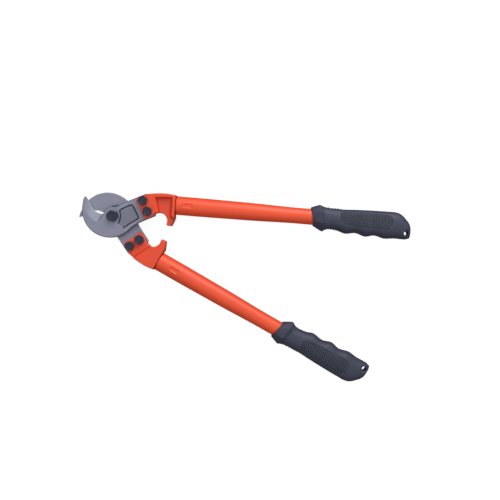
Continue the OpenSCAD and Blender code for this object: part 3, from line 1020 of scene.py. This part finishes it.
def tube_rings():
    """Rings of (along, across, up) points, out along the tube and back inside it."""
    turns = full_turn(TUBE_SIDES)
    lip = 0.9
    fine = np.arange(CRIMP_FRONT - 9, CRIMP_BACK + 9, 0.5)
    start = COLLAR_S + 0.35
    stations = np.concatenate([
        start + lip * (1 - np.cos(np.linspace(0, pi / 2, 5))), [start + 2.5], fine,
        np.arange(CRIMP_BACK + 12, TUBE_END, 6), [TUBE_END],
    ])
    rings = []
    for s in stations:
        at_lip = np.clip(1 - (s - start) / lip, 0, 1)
        radius = float(tube_radius(s)) - lip * (1 - np.sqrt(1 - at_lip**2))
        across, up = radius * np.cos(turns), radius * np.sin(turns)
        past_long = np.abs(s - np.where(up > 0, CRIMP_FRONT, CRIMP_BACK)) - CRIMP_LONG / 2
        past_wide = np.abs(across) - CRIMP_WIDE / 2
        well = rise(-past_long, -0.3, 0.6) * rise(-past_wide, -0.3, 0.6)
        up = up - np.sign(up) * CRIMP_DEEP * well
        rings.append(np.column_stack([np.full(TUBE_SIDES, s), across, up]))
    for s in (TUBE_END, COLLAR_S + 30, start + 0.3):
        radius = float(tube_radius(s)) - TUBE_WALL
        rings.append(np.roll(ring(radius, s, turns), 1, axis=1))
    return rings


def handle_space(points):
    """From along, across and up over the handle's axis to a half's own X, Y and Z."""
    return np.column_stack([on_handle(points[:, :2]), points[:, 2]])


tube_points, tube_faces = loft(tube_rings())
tube_faces = [face[::-1] for face in tube_faces]
# Painted shade: the tube's lip at the collar is darkened.
tube_lip_shade = 1 - rise(tube_points[:, 0], COLLAR_S + 0.4, COLLAR_S + 1.1)
for half in ("upper", "lower"):
    piece = solid(half + "_drawn_tube", handle_space(tube_points), tube_faces, half)
    finished(piece, TUBE_PAINT, FORGED_SHARP, {"seam": tube_lip_shade})
    attach(piece, half + "_half", half + "_tube")

# %% [markdown]
# The grip is one rubber moulding. Sculpting would give its soft forms but not its exact
# tread, so it is lofted too: some 300 rings of over 200 points, each ring a rounded box
# whose edges follow two curves, the back of the grip and its finger side. The tread, the ribs
# and the faceted guard are then pressed into the surface by formulas of the same coordinates.

# %% Grip curves
GRIP_START, GRIP_TIP = 264.8, 400.0
GRIP_SIDES, SQUARENESS = 232, 0.86


def curve(knots):
    """A smooth curve through (position, value) knots, one cubic for each stretch."""
    xs, ys = np.array(knots, float).T
    slopes = np.gradient(ys, xs)
    turning = np.concatenate([[False], (np.diff(ys)[:-1] * np.diff(ys)[1:]) <= 0, [False]])
    slopes[turning] = 0

    def at(s):
        k = np.clip(np.searchsorted(xs, s, side="right") - 1, 0, len(xs) - 2)
        h = xs[k + 1] - xs[k]
        t = np.clip((s - xs[k]) / h, 0, 1)
        keep = (2 * t**3 - 3 * t**2 + 1) * ys[k] + (t**3 - 2 * t**2 + t) * h * slopes[k]
        return keep + (3 * t**2 - 2 * t**3) * ys[k + 1] + (t**3 - t**2) * h * slopes[k + 1]

    return at


grip_back = curve([
    (262, 12.7), (272, 13.4), (292, 13.6), (305, 13.6), (325, 14.7), (345, 15.4), (368, 15.8),
    (378, 15.7), (383, 14.6), (388, 11.7), (393, 6.8), (397, 2.2), (399.2, -3), (400, -8),
])
grip_front = curve([
    (262, -11.9), (272, -13.2), (292, -14.5), (299, -15.2), (312, -19.1), (325, -17.2), (339, -20.8),
    (351, -18.4), (366, -21.4), (379, -20.1), (391, -20.3), (397, -18.9), (399.2, -17), (400, -13),
])
grip_deep = curve([
    (262, 12.6), (272, 13.3), (290, 13.6), (312, 14.2), (340, 14.6), (365, 13.9),
    (380, 12.6), (390, 11.2), (395, 9.9), (398, 7.6), (399.4, 5), (400, 2),
])

# %% Grip tread
GUARD_OUT, GUARD_IN, GUARD_HALF = 17.8, -19.3, 16.9
CREST, RUN_UP, RUN_DOWN, STEP_DOWN = 276.9, 12, 13, 6
mouth_lean = curve([(264, 2.2), (270, 2.6), (277, 3), (284, 1.7), (293, 0), (400, 0)])
TREAD_FROM, TREAD_TO, TREAD_PITCH, TREAD_SLOPE, TREAD_DEEP = 302.5, 374, 3.95, 1.1, 1.0
tread_low = curve([
    (302, -3), (308, -6.8), (315, -8.6), (325, -9.8), (340, -10), (357, -10.9), (367, -10.6),
    (371, -9), (374, -5.5),
])
tread_high = curve([
    (302, 8.4), (307, 9.8), (319, 10.6), (345, 11), (361, 10.8), (369, 9.8), (372, 8), (374, 5)
])
RIB_FROM, RIB_TO, RIB_PITCH, RIB_HIGH = 284, 303, 3.75, 0.85


def grip_surface(s, turns):
    """Points (along, across, up) of one ring with all its detail, and its two masks."""
    high, low, deep = grip_back(s), grip_front(s), grip_deep(s)
    waves = (np.cos(turns), np.sin(turns))
    side, up = [np.sign(wave) * np.abs(wave) ** SQUARENESS for wave in waves]
    across = (high + low) / 2 + (high - low) / 2 * side
    rise_up = deep * up
    before = 1 - np.clip((CREST - s) / RUN_UP, 0, 1)
    past = max(s - CREST, 0)
    swell = before * (1 - min(past / RUN_DOWN, 1)) ** 1.5
    swell_up = before * (1 - min(past / STEP_DOWN, 1)) ** 1.3
    facet = np.abs((turns + pi / 8) % (pi / 4) - pi / 8)
    bulge = cos(pi / 8) / np.cos(facet) * 1.04
    wide = (GUARD_OUT + GUARD_IN) / 2 + (GUARD_OUT - GUARD_IN) / 2 * np.cos(turns) * bulge
    tall = GUARD_HALF * np.sin(turns) * bulge
    across = across + (wide - across) * swell
    rise_up = rise_up + (tall - rise_up) * swell_up
    outward = np.column_stack([side, up]) / np.maximum(np.hypot(side, up), 1e-6)[:, None]
    ribs = RIB_HIGH * (0.5 + 0.5 * np.cos(2 * pi * (s - RIB_FROM) / RIB_PITCH))
    ribs = ribs * rise(s, RIB_FROM, RIB_FROM + 2) * (1 - rise(s, RIB_TO - 1.5, RIB_TO + 1))
    ribs = ribs * rise(np.abs(side), 0.7, 0.93)
    patch = rise(s, TREAD_FROM, TREAD_FROM + 0.5) * (1 - rise(s, TREAD_TO - 0.5, TREAD_TO))
    patch = patch * rise(across, tread_low(s) - 0.25, tread_low(s) + 0.25)
    patch = patch * (1 - rise(across, tread_high(s) - 0.25, tread_high(s) + 0.25))
    rows = [(s + slope * across) / TREAD_PITCH for slope in (TREAD_SLOPE, -TREAD_SLOPE)]
    cuts = [1 - rise(np.abs(row % 1 - 0.5) * 2, 0.08, 0.62) for row in rows]
    cut = np.maximum(cuts[0] * 0.65, cuts[1]) * patch
    out = ribs - TREAD_DEEP * cut
    across = across + outward[:, 0] * out
    rise_up = rise_up + outward[:, 1] * out
    crest_mask = np.clip(patch * (1 - cut), 0, 1) * 0.7 + np.clip(ribs / RIB_HIGH, 0, 1) * 0.3
    return np.column_stack([np.full(len(turns), s), across, rise_up]), crest_mask, cut


# %% Rings of the grip
turns = full_turn(GRIP_SIDES)
end_run = GRIP_TIP - 10 * (1 - np.sin(np.linspace(0, pi / 2, 22)))
stations = np.concatenate([np.arange(GRIP_START, GRIP_TIP - 10, 0.44), end_run])
rings, crests, groove_shades = [], [], []
for s in stations:
    points, crest_mask, cut = grip_surface(s, turns)
    points[:, 0] -= mouth_lean(s) * np.cos(turns)
    rings.append(points)
    crests.append(crest_mask)
    # Painted shade: the tread's cuts and the grip's open end are marked for darkening.
    groove_shades.append(np.maximum(cut, 1 - rise(s, GRIP_START, GRIP_START + 0.9)))
BORE_R, GRIP_SHARP = NECK_R + 0.15, 60
inner = []
for s, radius in (
    (TUBE_END, 0.01), (TUBE_END, BORE_R), (GRIP_START + 1.2, BORE_R), (GRIP_START, BORE_R + 0.9)
):
    inner.append(np.roll(ring(radius, s - mouth_lean(s) * np.cos(turns), turns), 1, axis=1))
grip_points, grip_faces = capped(inner + rings)
grip_faces = [face[::-1] for face in grip_faces]
pad = np.zeros(len(inner) * GRIP_SIDES)
grip_paint = {"crest": np.concatenate([pad, *crests]), "groove": np.concatenate([pad, *groove_shades])}

# %% [markdown]
# The hanging hole is cut through the grip's end with one drill, whose two ends are wider and
# leave a shallow dish round the hole on either side. Its place and size are the CAD mount's.

# %% Hanging holes
hang = next(m for m in frame["record"]["mounts"] if m["name"] == "upper_hang_hole")
HANG_R, HANG_HALF = hang["dims"]["r_mm"], hang["dims"]["length_mm"] / 2
profile = [
    (5.6, -20), (5.2, -HANG_HALF), (4.7, -HANG_HALF + 0.5),
    (HANG_R + 0.4, -HANG_HALF + 0.5), (HANG_R, -HANG_HALF + 1),
]
drill, drill_faces = spun(profile + [(radius, -z) for radius, z in profile[::-1]], 48)
drill[:, :2] += np.array(hang["pos_m"][:2]) / MM
for half in ("upper", "lower"):
    piece = solid(half + "_rubber_grip", handle_space(grip_points), grip_faces, half)
    finished(piece, RUBBER, GRIP_SHARP, grip_paint)
    carve(piece, GRIP_SHARP, solid("drill", drill, drill_faces, half))
    attach(piece, half + "_half", half + "_grip")

# %% [markdown]
# Hexagon heads and nuts are forged, then turned on their ends, which leaves the curved
# chamfer lines on the six flats. A ring of points round the axis can be a circle or a
# rounded hexagon, so bolt and nut are stacks of such rings.

# %% Hexagon fasteners
HEX_TURNS = full_turn(96)
HEX_CUT, HEX_SOFT, HEX_SHARP = 0.985, 0.12, 24
BORE_LEAD = 0.5


def disc(radius, height):
    """One ring of a fastener."""
    return ring(radius, height, HEX_TURNS)


def hex_block(flats, low, high, chamfer_low):
    """Rings of a hexagon block between two heights, from its lower to its upper face."""
    facet = np.abs((HEX_TURNS + pi / 6) % (pi / 3) - pi / 6)
    side = flats / 2 / np.cos(pi / 6 - facet)
    radius = np.minimum(side, flats / 2 / cos(pi / 6) * HEX_CUT)
    face = flats / 2 * HEX_CUT
    drop = (radius - face) * np.tan(radians(30))
    bottom, top = low + (drop if chamfer_low else 0.25), high - drop
    return [
        disc(face, low), disc(radius - HEX_SOFT, bottom), disc(radius, bottom + HEX_SOFT),
        disc(radius, top - HEX_SOFT), disc(radius - HEX_SOFT, top), disc(face, high),
    ]


def fastener(node, body, shape, flats, turn):
    """Turn a bolt or a nut by its wrench angle and set it in the place of its CAD node."""
    points, faces = shape
    low, high = box_mm(node)
    edge = np.abs(np.hypot(points[:, 0], points[:, 1]) - flats * 0.54) < flats * 0.045
    plan = turned(points[:, :2], turn, ((low + high) / 2)[:2])
    piece = solid(node + "_oxide", np.column_stack([plan, points[:, 2]]), faces, None)
    attach(finished(piece, OXIDE, HEX_SHARP, {"rim": edge}), body, node)


def bolt(node, body, flats, head, shank_r, turn):
    """A bolt with its head up."""
    bottom, top = [corner[2] for corner in box_mm(node)]
    under, tip = top - head, shank_r * 0.16
    shank = [disc(0.01, bottom), disc(shank_r - tip, bottom)]
    shank += [disc(shank_r, bottom + tip), disc(shank_r, under)]
    dish = [disc(flats * 0.36, top), disc(flats * 0.3, top - 0.35), disc(0.01, top - 0.45)]
    rows = shank + hex_block(flats, under, top, False) + dish
    fastener(node, body, capped(rows), flats, turn)


def nut(node, body, flats, bore, turn):
    """A nut with both faces chamfered."""
    bottom, top = [corner[2] for corner in box_mm(node)]
    wide = bore + BORE_LEAD
    inner = [disc(wide, top), disc(bore, top - BORE_LEAD)]
    inner += [disc(bore, bottom + BORE_LEAD), disc(wide, bottom)]
    fastener(node, body, loft(hex_block(flats, bottom, top, True) + inner), flats, turn)


PIVOT_FLATS, PIVOT_HEAD, TAB_DIR = 14, 6, 36
PIVOT_NUT_FLATS, PIVOT_NUT_TURN = 16, 12
TANG_FLATS, TANG_HEAD = 12, 5.3
WRENCH_TURNS = {"upper_outer": 36, "upper_inner": 51, "lower_outer": 32, "lower_inner": 50}
bolt("pivot_bolt", "lower_half", PIVOT_FLATS, PIVOT_HEAD, PIVOT_R, TAB_DIR + 30)
nut("pivot_nut", "lower_half", PIVOT_NUT_FLATS, PIVOT_R + HOLE_PLAY, PIVOT_NUT_TURN)
for name, turn in WRENCH_TURNS.items():
    body = name.split("_")[0] + "_half"
    bolt(name + "_bolt", body, TANG_FLATS, TANG_HEAD, TANG_BOLT_R, turn)
    nut(name + "_nut", body, TANG_FLATS, TANG_BOLT_R + HOLE_PLAY, turn * 1.7)

# %% [markdown]
# Under the pivot head lies a lock washer with one tab bent up against a flat, so the bolt
# can't turn with the blade. Under the nut lies a plain washer with broken edges.

# %% Washers


WASHER_SOFT, WASHER_SHARP, TAB_THICK = 0.15, 30, 1.1


def washer(node, rim_r, tab=False):
    """A washer in the place of a CAD node, with a bent tab if it has one."""
    bottom, top = [corner[2] for corner in box_mm(node)]
    thick = TAB_THICK if tab else top - bottom
    bore, face, flat_r = PIVOT_R + HOLE_PLAY, bottom + thick, rim_r - WASHER_SOFT
    shape = loft([
        disc(bore, bottom), disc(flat_r, bottom), disc(rim_r, bottom + WASHER_SOFT),
        disc(rim_r, face - WASHER_SOFT), disc(flat_r, face), disc(bore, face),
    ])
    piece = finished(solid(node + "_oxide", *shape, None), OXIDE, WASHER_SHARP, {})
    if tab:
        near = PIVOT_FLATS / 2 + 0.05
        far, half_wide = near + thick, PIVOT_FLATS / 4
        bend = [
            (near - 2, bottom), (far - 0.4, bottom), (far, bottom + 0.5), (far, top - 0.3),
            (far - 0.3, top), (near, top), (near, face), (near - 2, face),
        ]
        count = len(bend)
        points = np.array([(x, y, z) for y in (-half_wide, half_wide) for x, z in bend])
        points[:, :2] = turned(points[:, :2], TAB_DIR)
        faces = [tuple(range(count)), tuple(range(2 * count - 1, count - 1, -1))]
        faces += [(i, i + count, (i + 1) % count + count, (i + 1) % count) for i in range(count)]
        carve(piece, WASHER_SHARP, solid("tab", points, faces, None), "UNION")
    attach(piece, "lower_half", node)


washer("pivot_tab_washer", PIVOT_FLATS / 2 + 0.2, True)
washer("pivot_washer", 10)
